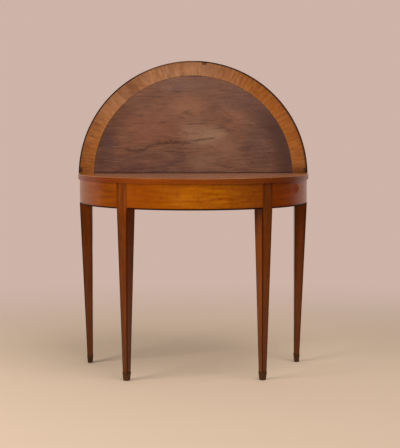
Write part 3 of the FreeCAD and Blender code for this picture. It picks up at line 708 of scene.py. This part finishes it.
def edgeVeneer(name, lay, worn=False):
    look = edgeLook
    material, tree, shader = startFinish(name)
    plane = lay(tree)
    rim = useGroup(tree, rimGroup, {"Vector": plane})
    axes = splitVector(tree, plane)
    grain = joinVector(tree, rim["Along"], axes["Z"], rim["Radius"])
    colour, fibre = woodColour(tree, grain, look)
    # painted shade towards the ends of the bow, where the edge turns from the light
    colour = ramp(tree, colour, maths(tree, "ABSOLUTE", axes["X"]), *look["ends"])
    if worn:
        # paler along the arris: the polish is rubbed through, and a painted highlight of glare lies on it
        bare = mixColours(tree, fibre["Streak"], *(srgb(*tone) for tone in look["bare"]))
        colour = ramp(tree, colour, axes["Z"], bare, *look["bareDepth"])
    finishWood(tree, shader, colour, fibre, look)
    return material


# each leg is toned apart as painted light and shade, the right front one palest
legLook = {
    **plainWood, "light": (143, 69, 9), "dark": (86, 37, 5), "figure": (114, 50, 5),
    "poreTone": (56, 26, 5), "streak": (0.16, 0.0055), "mottle": 0.03, "wander": 0.016,
    "roughness": (0.2, 0.34), "gloss": 0.26, "stileSpan": (0.56, 0.66),
    "stock": {"leftFront": ((94, 42, 7), 0.5), "leftRear": ((90, 40, 7), 0.6),
              "rightFront": ((150, 76, 14), 0.24), "rightRear": ((90, 40, 7), 0.3)},
    "foot": ((88, 46, 16), (0.05, 0.38), (0.6, 0.0)),
    "edgeTone": (58, 24, 4), "edgeNear": (0.6, 0.9, 0.0, 0.6), "edgeStile": 0.2,
    "half": (10 * mm, 23.5 * mm),
}


def legEdges(tree, side, row):
    # how near a point of a leg is to its arrises, from 0 at the middle of a face to 1
    foot = middleOf(f"{side}_{row}_foot_cap")
    shift = middleOf(f"{side}_{row}_leg").x - foot.x if row == "rear" else 0.0
    local = turned(tree, objectPlace(tree), (0, 0, legTurn(row, foot)), (foot.x, foot.y, 0),
                   "TEXTURE")
    u, v, z = splitVector(tree, local)
    rise = mapRange(tree, z, 0.0, friezeFoot)
    u = maths(tree, "SUBTRACT", u, times(tree, rise, shift))
    half = mapRange(tree, rise, 0.0, 1.0, *legLook["half"])
    near = maths(tree, "MINIMUM", maths(tree, "ABSOLUTE", u), maths(tree, "ABSOLUTE", v))
    return maths(tree, "DIVIDE", near, half)


def legWood(side, row):
    look = legLook
    name = side + row.capitalize()
    material, tree, shader = startFinish(name + "Leg")
    colour, fibre = woodColour(tree, upright(tree), look)
    height = heightOf(tree)
    # painted light and shade of this leg below the frieze
    stock, share = look["stock"][name]
    colour = ramp(tree, colour, height, stock, look["stileSpan"], (share, 0.0))
    colour = ramp(tree, colour, height, *look["foot"])
    # darker along the lines: old polish, and painted shade beside the arrises
    edge = fade(tree, legEdges(tree, side, row), *look["edgeNear"])
    below = fade(tree, height, *look["stileSpan"], 1.0, look["edgeStile"])
    colour = tint(tree, colour, look["edgeTone"], edge, below)
    finishWood(tree, shader, colour, fibre, look)
    return material


lineLook = {
    **plainWood, "light": (46, 20, 8), "dark": (26, 11, 5), "figure": (36, 15, 6),
    "poreTone": (16, 8, 5), "roughness": (0.55, 0.7), "gloss": 0.06, "grime": 0.2,
}
fieldLineLook = {
    **lineLook, "light": (96, 58, 38), "dark": (66, 38, 25), "figure": (82, 48, 30),
    "poreTone": (40, 22, 14), "gloss": 0.15,
}
legLineLook = {
    **lineLook, "light": (74, 35, 9), "dark": (50, 23, 7), "figure": (62, 29, 8),
    "stile": ((114, 49, 5), (friezeFoot - 6 * mm, friezeFoot + 6 * mm), (0.0, 0.8)),
}
leafLineLook = {
    **lineLook, "worn": (134, 92, 66), "wornAlong": (-0.27, -0.17, 0.0, 0.03), "wornShare": 0.55,
}


def legLine():
    # the lines on the legs are paler where they cross the frieze
    look = legLineLook
    material, tree, shader = startFinish("legLine")
    colour, fibre = woodColour(tree, upright(tree), look)
    colour = ramp(tree, colour, heightOf(tree), *look["stile"])
    finishWood(tree, shader, colour, fibre, look)
    return material


def leafLine():
    # the line on the leaf's rim is worn at the left of the top
    look = leafLineLook
    material, tree, shader = startFinish("leafLine")
    rim = useGroup(tree, rimGroup, {"Vector": leafPlane(tree)})
    colour, fibre = woodColour(tree, upright(tree), look)
    worn = window(tree, rim["Along"], *look["wornAlong"])
    colour = tint(tree, colour, look["worn"], worn, look["wornShare"])
    finishWood(tree, shader, colour, fibre, look)
    return material


railLook = {
    **plainWood, "light": (180, 122, 82), "dark": (138, 86, 54), "figure": (156, 102, 66),
    "poreTone": (78, 44, 28), "streak": (0.4, 0.009), "pore": (0.006, 0.0006), "poreShare": 0.35,
    "grime": 0.45, "roughness": (0.6, 0.75), "gloss": 0.25, "relief": 0.0004,
}

capMetal = {"bright": (108, 72, 32), "stained": (64, 38, 17), "grimy": (38, 22, 11),
            "stainScale": 90, "metal": (0.8, 0.35), "roughness": (0.4, 0.58)}
hingeMetal = {"bright": (150, 116, 62), "stained": (92, 66, 34), "grimy": (50, 36, 20),
              "stainScale": 120, "metal": (0.9, 0.6), "roughness": (0.35, 0.5)}
screwMetal = {"bright": (120, 112, 102), "stained": (82, 66, 52), "grimy": (44, 34, 26),
              "stainScale": 200, "metal": (0.9, 0.5), "roughness": (0.38, 0.55)}
metalWear = {"detail": 5, "roughness": 0.6, "span": (0.38, 0.62), "grime": 0.6, "bump": 0.4,
             "relief": 0.0002}


def metal(name, look):
    material, tree, shader = startFinish(name)
    place = objectPlace(tree)
    polish = useGroup(tree, polishGroup, {"Vector": place})
    stain = noise(tree, place, look["stainScale"], metalWear["detail"], metalWear["roughness"])
    stain = fade(tree, stain, *metalWear["span"])
    colour = mixColours(tree, stain, srgb(*look["bright"]), srgb(*look["stained"]))
    colour = tint(tree, colour, look["grimy"], polish["Grime"], metalWear["grime"])
    feed(tree, shader.inputs["Base Color"], colour)
    feed(tree, shader.inputs["Metallic"], fade(tree, stain, 0.0, 1.0, *look["metal"]))
    sheen = fade(tree, polish["Haze"], 0.0, 1.0, *look["roughness"])
    feed(tree, shader.inputs["Roughness"], sheen)
    height = maths(tree, "ADD", stain, times(tree, polish["Scratch"], -1.0))
    bump = addNode(tree, "Bump", {
        "Strength": metalWear["bump"], "Distance": metalWear["relief"], "Height": height})
    feed(tree, shader.inputs["Normal"], bump.outputs[0])
    return material


finishes = {material.name: material for material in (
    leafField(),
    plainFinish("topField", topPlane, topLook),
    crossbanding("leafBand", leafPlane, faded=True),
    crossbanding("outerBand", leafPlane),
    crossbanding("topBand", topPlane),
    edgeVeneer("leafEdge", leafPlane),
    edgeVeneer("topEdge", topPlane),
    edgeVeneer("wornArris", topPlane, worn=True),
    *(friezeVeneer(panel) for panel in panels),
    *(legWood(side, row) for side, row in legs),
    plainFinish("ebonyLine", upright, lineLook),
    plainFinish("fieldLine", upright, fieldLineLook),
    legLine(),
    leafLine(),
    plainFinish("bareWood", objectPlace, railLook),
    plainFinish("bareBricks", roundFrieze, railLook),
    plainFinish("bareBrace", endways, railLook),
    metal("capBrass", capMetal),
    metal("hingeBrass", hingeMetal),
    metal("screwSteel", screwMetal),
)}
finishOfSlot = {
    "ebony_line": "ebonyLine", "frame_wood": "bareWood", "foot_brass": "capBrass",
    "hinge_brass": "hingeBrass", "steel": "screwSteel",
}
finishOfNode = {
    "leaf_panel": "leafField", "fixed_top_panel": "topField", "leaf_crossbanding": "leafBand",
    "leaf_outer_crossbanding": "outerBand", "fixed_top_crossbanding": "topBand",
    "leaf_edge_veneer": "leafEdge", "fixed_top_edge_veneer": "topEdge",
    "fixed_top_edge_line": "wornArris", "leaf_edge_line": "leafLine",
    "leaf_field_line": "fieldLine", "fixed_top_field_line": "fieldLine",
    "medial_brace": "bareBrace",
    **{"frieze_veneer_" + panel: panel + "Frieze" for panel in panels},
    **{"frieze_course_" + course: "bareBricks" for course in courses},
    **{f"{side}_{row}_leg": side + row.capitalize() + "Leg" for side, row in legs},
    **{f"{side}_{row}_leg_stringing": "legLine" for side, row in legs},
}


def finishFor(nodeName):
    return finishes[finishOfNode.get(nodeName) or finishOfSlot[slotOf[nodeName]]]


for nodeName, nodeObject in nodes.items():
    nodeObject.data.materials.clear()
    nodeObject.data.materials.append(finishFor(nodeName))
print("finishes made:", len(finishes))


# pieces modelled over the frame

easing = {
    "smooth": math.radians(35), "sharp": math.radians(30), "broken": math.radians(8),
    "flat": math.radians(0.4), "merge": 2e-6, "steps": 3, "along": 0.93,
}


def pickOnly(thing):
    bpy.ops.object.select_all(action="DESELECT")
    thing.select_set(True)
    bpy.context.view_layer.objects.active = thing


def selectParts(piece, kind, test):
    # picks the vertices, edges or faces that pass a test
    bpy.ops.mesh.select_all(action="DESELECT")
    bpy.ops.mesh.select_mode(type=kind)
    mesh = bmesh.from_edit_mesh(piece.data)
    for part in {"VERT": mesh.verts, "EDGE": mesh.edges, "FACE": mesh.faces}[kind]:
        if test(part):
            part.select = True
    if kind == "VERT":
        mesh.select_flush(True)
    bmesh.update_edit_mesh(piece.data)


def applyPlace():
    bpy.ops.object.transform_apply(location=True, rotation=True, scale=True)


def smoothBy(angle=easing["smooth"]):
    bpy.ops.object.shade_smooth_by_angle(angle=angle)


def pieceName(nodeName):
    first, *rest = nodeName.split("_")
    return first + "".join(word.capitalize() for word in rest)


def standFor(piece, nodeName):
    piece.data.materials.clear()
    piece.data.materials.append(finishFor(nodeName))
    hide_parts(nodeName)
    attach(piece, bodyOf[nodeName])


def easedCopy(nodeName, width=0.0, outward=None):
    # a merged copy of a node with its arrises eased: all, or those that face the outward way
    piece = bpy.data.objects.new(pieceName(nodeName), nodes[nodeName].data.copy())
    bpy.context.scene.collection.objects.link(piece)

    def arris(edge):
        if len(edge.link_faces) != 2 or edge.calc_face_angle(0) < easing["sharp"]:
            return False
        facing = (edge.link_faces[0].normal + edge.link_faces[1].normal).normalized()
        middle = (edge.verts[0].co + edge.verts[1].co) / 2
        return outward is None or facing.dot(outward(middle)) > easing["along"]
    pickOnly(piece)
    bpy.ops.object.mode_set(mode="EDIT")
    bpy.ops.mesh.select_all(action="SELECT")
    bpy.ops.mesh.remove_doubles(threshold=easing["merge"])
    bpy.ops.mesh.dissolve_limited(angle_limit=easing["flat"])
    if width:
        selectParts(piece, "EDGE", arris)
        bpy.ops.mesh.bevel(offset=width, segments=easing["steps"], affect="EDGES")
    bpy.ops.object.mode_set(mode="OBJECT")
    smoothBy()
    standFor(piece, nodeName)
    return piece


def cutWith(piece, cutter, smooth=easing["smooth"]):
    pickOnly(piece)
    cutting = piece.modifiers.new("cut", "BOOLEAN")
    cutting.operation = "DIFFERENCE"
    cutting.solver = "EXACT"
    cutting.object = cutter
    bpy.ops.object.modifier_apply(modifier="cut")
    bpy.data.objects.remove(cutter)
    smoothBy(smooth)


# ways that the eased arrises of the tops and legs face

def topOutward(way):
    def outward(point):
        away = Vector((point.x, point.y - arcPlace.y, 0)).normalized()
        return (away + Vector((0, 0, way))).normalized()
    return outward


def leafOutward(way):
    def outward(point):
        middle = point - hingePlace
        away = (Vector((1, 0, 0)) * middle.x + leafUp * middle.dot(leafUp)).normalized()
        return (away + leafFront * way).normalized()
    return outward


def legOutward(side, row):
    # away from the line up the middle of a leg
    foot, head = middleOf(f"{side}_{row}_foot_cap"), middleOf(f"{side}_{row}_leg")
    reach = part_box(f"{side}_{row}_leg")[1].z

    def outward(point):
        middle = foot.lerp(head, point.z / reach)
        return Vector((point.x - middle.x, point.y - middle.y, 0)).normalized()
    return outward


rimEase = {"arris": 2.6 * mm, "line": 0.9 * mm, "lower": 0.6 * mm, "veneer": 0.5 * mm}

easedCopy("fixed_top_edge_line", rimEase["arris"], topOutward(1))
easedCopy("fixed_top_edge_veneer", rimEase["veneer"], topOutward(-1))
chippedLine = easedCopy("leaf_edge_line", rimEase["line"], leafOutward(1))
chippedBand = easedCopy("leaf_crossbanding")
easedCopy("leaf_outer_edge_line", rimEase["line"], leafOutward(-1))
easedCopy("leaf_edge_veneer")
easedCopy("frieze_edge_lines", rimEase["lower"], topOutward(-1))
for panel in panels:
    easedCopy("frieze_veneer_" + panel)
print("rims eased")

# a splinter is gone beside the leaf's rim, a little right of the top
chipShape = {"across": 0.045, "radius": 0.4437, "half": (9.2 * mm, 7.2 * mm, 3.0 * mm), "turn": 0.1}


def chipCutter():
    up = math.sqrt(chipShape["radius"] ** 2 - chipShape["across"] ** 2)
    bpy.ops.object.select_all(action="DESELECT")
    bpy.ops.mesh.primitive_ico_sphere_add(subdivisions=2, radius=1)
    cutter = bpy.context.active_object
    cutter.scale = chipShape["half"]
    cutter.rotation_euler = (math.pi / 2 - leafLean, 0, chipShape["turn"])
    cutter.location = hingePlace + Vector((chipShape["across"], 0, 0)) + leafUp * up
    applyPlace()
    return cutter


for piece in (chippedLine, chippedBand):
    cutWith(piece, chipCutter(), easing["broken"])
print("rim chipped")

legEase = {"arris": 0.6 * mm}
for side, row in legs:
    easedCopy(f"{side}_{row}_leg_stringing", legEase["arris"], legOutward(side, row))
print("leg arrises eased")

railEase = {"arris": 0.8 * mm, "block": 1.2 * mm, "brick": 0.4 * mm, "plate": 0.3 * mm}
for side in sides:
    easedCopy(f"{side}_fly_rail", railEase["arris"])
    easedCopy(f"{side}_hinge_fixed_plate", railEase["plate"])
    easedCopy(f"{side}_hinge_leaf_plate", railEase["plate"])
for nodeName in ("gate_hinge_block", "inner_back_rail", "medial_brace"):
    easedCopy(nodeName, railEase["arris"])
easedCopy("glue_blocks", railEase["block"])
for course in courses:
    easedCopy("frieze_course_" + course, railEase["brick"])
print("rails and blocks eased")

capShape = {
    "headWidth": 23.8 * mm, "footWidth": 18.5 * mm, "wall": 1.5 * mm, "floor": 3 * mm,
    "corner": 1.4 * mm, "foot": 2.0 * mm, "rim": 0.6 * mm, "steps": 3,
    "level": 0.9, "upright": 0.95, "near": 0.1 * mm, "outside": 0.48,
}


def footCap(side, row):
    # a tapered cup cast round the foot, with rounded corners and a softened underside
    shape = capShape
    nodeName = f"{side}_{row}_foot_cap"
    low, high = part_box(nodeName)
    middle = middleOf(nodeName)
    height = high.z - low.z
    bpy.ops.object.select_all(action="DESELECT")
    bpy.ops.mesh.primitive_cube_add(size=1)
    piece = bpy.context.active_object
    piece.name = pieceName(nodeName)
    piece.scale = (shape["headWidth"], shape["headWidth"], height)
    piece.location = (0, 0, height / 2)
    applyPlace()
    bpy.ops.object.mode_set(mode="EDIT")
    selectParts(piece, "FACE", lambda face: face.normal.z < -shape["level"])
    taper = shape["footWidth"] / shape["headWidth"]
    bpy.ops.transform.resize(value=(taper, taper, 1), center_override=(0, 0, 0))
    selectParts(piece, "FACE", lambda face: face.normal.z > shape["level"])
    bpy.ops.mesh.inset(thickness=shape["wall"])
    down = (0, 0, shape["floor"] - height)
    bpy.ops.mesh.extrude_region_move(TRANSFORM_OT_translate={"value": down})
    walls = 2 * shape["wall"]
    narrow = (shape["footWidth"] - walls) / (shape["headWidth"] - walls)
    bpy.ops.transform.resize(value=(narrow, narrow, 1), center_override=(0, 0, 0))

    def heights(edge):
        return sorted(vert.co.z for vert in edge.verts)

    def upEdge(edge):
        bottom, top = heights(edge)
        return top - bottom > height * shape["upright"]

    def underEdge(edge):
        return heights(edge)[1] < shape["near"]

    def rimEdge(edge):
        reach = max(abs(value) for vert in edge.verts for value in vert.co[:2])
        outer = shape["footWidth"] * shape["outside"]
        return heights(edge)[0] > height - shape["near"] and reach > outer
    for test, width in ((upEdge, "corner"), (underEdge, "foot"), (rimEdge, "rim")):
        selectParts(piece, "EDGE", test)
        bpy.ops.mesh.bevel(offset=shape[width], segments=shape["steps"], affect="EDGES")
    bpy.ops.object.mode_set(mode="OBJECT")
    piece.rotation_euler = (0, 0, legTurn(row, middle))
    piece.location = (middle.x, middle.y, low.z)
    applyPlace()
    smoothBy()
    standFor(piece, nodeName)


for side, row in legs:
    footCap(side, row)
print("foot caps made")

# a bead of dark wax closes the joint between the fixed top and the leaf, and stands in for the shade in the gap
jointBeadShape = {"reach": 0.442, "radius": 0.19 * mm, "depth": 3.0 * mm, "sides": 16, "split": -0.2}


def jointWax():
    bpy.ops.object.select_all(action="DESELECT")
    bpy.ops.mesh.primitive_cylinder_add(
        vertices=jointBeadShape["sides"], radius=jointBeadShape["radius"], depth=2 * jointBeadShape["reach"],
        rotation=(0, math.pi / 2, 0))
    piece = bpy.context.active_object
    piece.name = "jointWax"
    applyPlace()
    bpy.ops.object.mode_set(mode="EDIT")
    split = jointBeadShape["split"] * jointBeadShape["radius"]
    selectParts(piece, "VERT", lambda vert: vert.co.z < split)
    bpy.ops.transform.translate(value=(0, 0, -jointBeadShape["depth"]))
    bpy.ops.object.mode_set(mode="OBJECT")
    piece.location = hingePlace
    applyPlace()
    smoothBy()
    piece.data.materials.append(finishes["ebonyLine"])
    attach(piece, "frame")


jointWax()
print("joint wax laid")

# screws with slotted heads, each stopped at its own turn
slotShape = {
    "width": 0.24, "depth": 0.3, "spare": 1.3, "firstTurn": 0.7, "turnStep": 1.9,
    "rim": 0.05 * mm,
}


def looseParts(mesh):
    # in the order of the vertices, so that every run finds the same
    seen = set()
    for start in mesh.verts:
        if start in seen:
            continue
        seen.add(start)
        part = [start]
        for vert in part:
            others = [edge.other_vert(vert) for edge in vert.link_edges]
            fresh = [other for other in others if other not in seen]
            seen.update(fresh)
            part += fresh
        yield part


def screwHeads(nodeName):
    # middle, outward way and radius of each screw's head
    mesh = bmesh.new()
    mesh.from_mesh(nodes[nodeName].data)
    bmesh.ops.remove_doubles(mesh, verts=mesh.verts, dist=easing["merge"])
    heads = []
    for part in looseParts(mesh):
        low = [min(vert.co[axis] for vert in part) for axis in range(3)]
        high = [max(vert.co[axis] for vert in part) for axis in range(3)]
        axis = max(range(3), key=lambda index: high[index] - low[index])
        ends = []
        for limit, way in ((low[axis], -1), (high[axis], 1)):
            rim = [vert.co for vert in part if abs(vert.co[axis] - limit) < slotShape["rim"]]
            middle = sum(rim, Vector()) / len(rim)
            ends.append((max((point - middle).length for point in rim), way, middle))
        radius, way, middle = max(ends, key=lambda end: end[0])
        outward = Vector((0, 0, 0))
        outward[axis] = way
        heads.append((middle, outward, radius))
    mesh.free()
    return heads


def slottedScrews(nodeName):
    piece = easedCopy(nodeName)
    bars = []
    for index, (middle, outward, radius) in enumerate(screwHeads(nodeName)):
        bpy.ops.object.select_all(action="DESELECT")
        bpy.ops.mesh.primitive_cube_add(size=1)
        bar = bpy.context.active_object
        bar.scale = (2 * radius * slotShape["spare"], radius * slotShape["width"],
                     2 * radius * slotShape["depth"])
        turn = Euler((0, 0, slotShape["firstTurn"] + slotShape["turnStep"] * index))
        bar.rotation_euler = (outward.to_track_quat("Z", "Y") @ turn.to_quaternion()).to_euler()
        bar.location = middle
        bars.append(bar)
    for bar in bars:
        bar.select_set(True)
    bpy.ops.object.join()
    applyPlace()
    cutWith(piece, bpy.context.active_object)


for nodeName in ("top_screws", "hinge_block_screws", "fixed_hinge_screws", "leaf_hinge_screws"):
    slottedScrews(nodeName)
print("screws slotted")

# camera of the photograph
cameraPlace = {"lens": 89.25, "sensor": 36.0, "place": (-0.0599, -4.1919, 0.9397), "yaw": 0.0197,
               "tilt": 0.0896}
cameraData = bpy.data.cameras.new("camera")
cameraData.sensor_width = cameraPlace["sensor"]
cameraData.lens = cameraPlace["lens"]
camera = bpy.data.objects.new("camera", cameraData)
camera.location = cameraPlace["place"]
camera.rotation_euler = (math.pi / 2 - cameraPlace["tilt"], 0, -cameraPlace["yaw"])
bpy.context.scene.collection.objects.link(camera)
bpy.context.scene.camera = camera

# pale floor that fades into the backdrop's colour
floorLook = {
    "radius": 5.0, "sides": 96, "under": 0.3 * mm, "tone": (217, 193, 170),
    "middle": (0, -0.3, 0), "spread": (0.8, 1, 1), "fadeSpan": (0.8, 2.8),
}


def makeFloor():
    bpy.ops.object.select_all(action="DESELECT")
    bpy.ops.mesh.primitive_circle_add(
        vertices=floorLook["sides"], radius=floorLook["radius"], fill_type="NGON",
        location=(0, 0, -floorLook["under"]))
    floor = bpy.context.active_object
    floor.name = "floor"
    material = bpy.data.materials.new("floor")
    material.use_nodes = True
    tree = material.node_tree
    tree.nodes.clear()
    solid = addNode(tree, "BsdfDiffuse", {"Color": srgb(*floorLook["tone"])})
    clear = addNode(tree, "BsdfTransparent")
    away = vectorMaths(tree, "SUBTRACT", objectPlace(tree), floorLook["middle"])
    away = vectorMaths(tree, "LENGTH", vectorMaths(tree, "MULTIPLY", away, floorLook["spread"]))
    far = fade(tree, away, *floorLook["fadeSpan"])
    blend = addNode(tree, "MixShader", {0: far, 1: solid.outputs[0], 2: clear.outputs[0]})
    tree.links.new(blend.outputs[0], addNode(tree, "OutputMaterial").inputs["Surface"])
    floor.data.materials.append(material)


makeFloor()

# soft studio light: a large lamp at the left, a weaker one above and an even room
roomLook = {
    "backdrop": (206, 180, 168), "front": (40, 34, 30), "frontSpan": (0.2, 0.56),
    "bright": (-0.1, 1.0, 0.0), "fill": (1.0, 0.97, 0.94, 1.0), "fillStrength": (0.27, 0.62),
    "fillSpan": (-0.1, 0.6),
}
lampLook = {
    "key": {"place": (-3.4, -2.2, 2.0), "aim": (0, 0, 0.6), "size": 2.2, "power": 124,
            "tone": (1.0, 0.96, 0.9), "mirrored": False},
    "above": {"place": (0.9, -1.3, 3.6), "aim": (0, 0, 0.6), "size": 2.2, "power": 60,
              "tone": (1.0, 0.97, 0.93), "mirrored": True},
}


def makeRoom():
    world = bpy.data.worlds.new("room")
    bpy.context.scene.world = world
    world.use_nodes = True
    tree = world.node_tree
    tree.nodes.clear()
    path = addNode(tree, "LightPath").outputs
    mirrored = maths(tree, "MAXIMUM", path["Is Glossy Ray"], path["Is Transmission Ray"])
    seen = maths(tree, "MAXIMUM", path["Is Camera Ray"], mirrored)
    # the room in front of the table is dim, which keeps haze off the polish
    way = addNode(tree, "TexCoord").outputs["Generated"]
    bright = vectorMaths(tree, "DOT_PRODUCT", way, roomLook["bright"])
    bright = fade(tree, bright, *roomLook["frontSpan"])
    bright = maths(tree, "MAXIMUM", bright, path["Is Camera Ray"])
    tone = mixColours(tree, bright, srgb(*roomLook["front"]), srgb(*roomLook["backdrop"]))
    backdrop = addNode(tree, "Background", {"Color": tone})
    ahead = splitVector(tree, way)["Y"]
    strength = fade(tree, ahead, *roomLook["fillSpan"], *roomLook["fillStrength"])
    fill = addNode(tree, "Background", {"Color": roomLook["fill"], "Strength": strength})
    blend = addNode(tree, "MixShader", {0: seen, 1: fill.outputs[0], 2: backdrop.outputs[0]})
    tree.links.new(blend.outputs[0], addNode(tree, "OutputWorld").inputs["Surface"])


def makeLamp(name, look):
    lampData = bpy.data.lights.new(name, "AREA")
    lampData.size = look["size"]
    lampData.energy = look["power"]
    lampData.color = look["tone"]
    lamp = bpy.data.objects.new(name, lampData)
    place = Vector(look["place"])
    lamp.location = place
    lamp.rotation_euler = (Vector(look["aim"]) - place).to_track_quat("-Z", "Y").to_euler()
    lamp.visible_glossy = look["mirrored"]
    bpy.context.scene.collection.objects.link(lamp)


makeRoom()
for lampName, look in lampLook.items():
    makeLamp(lampName, look)
bpy.context.scene.view_settings.view_transform = "Standard"
print("camera, floor and light set")
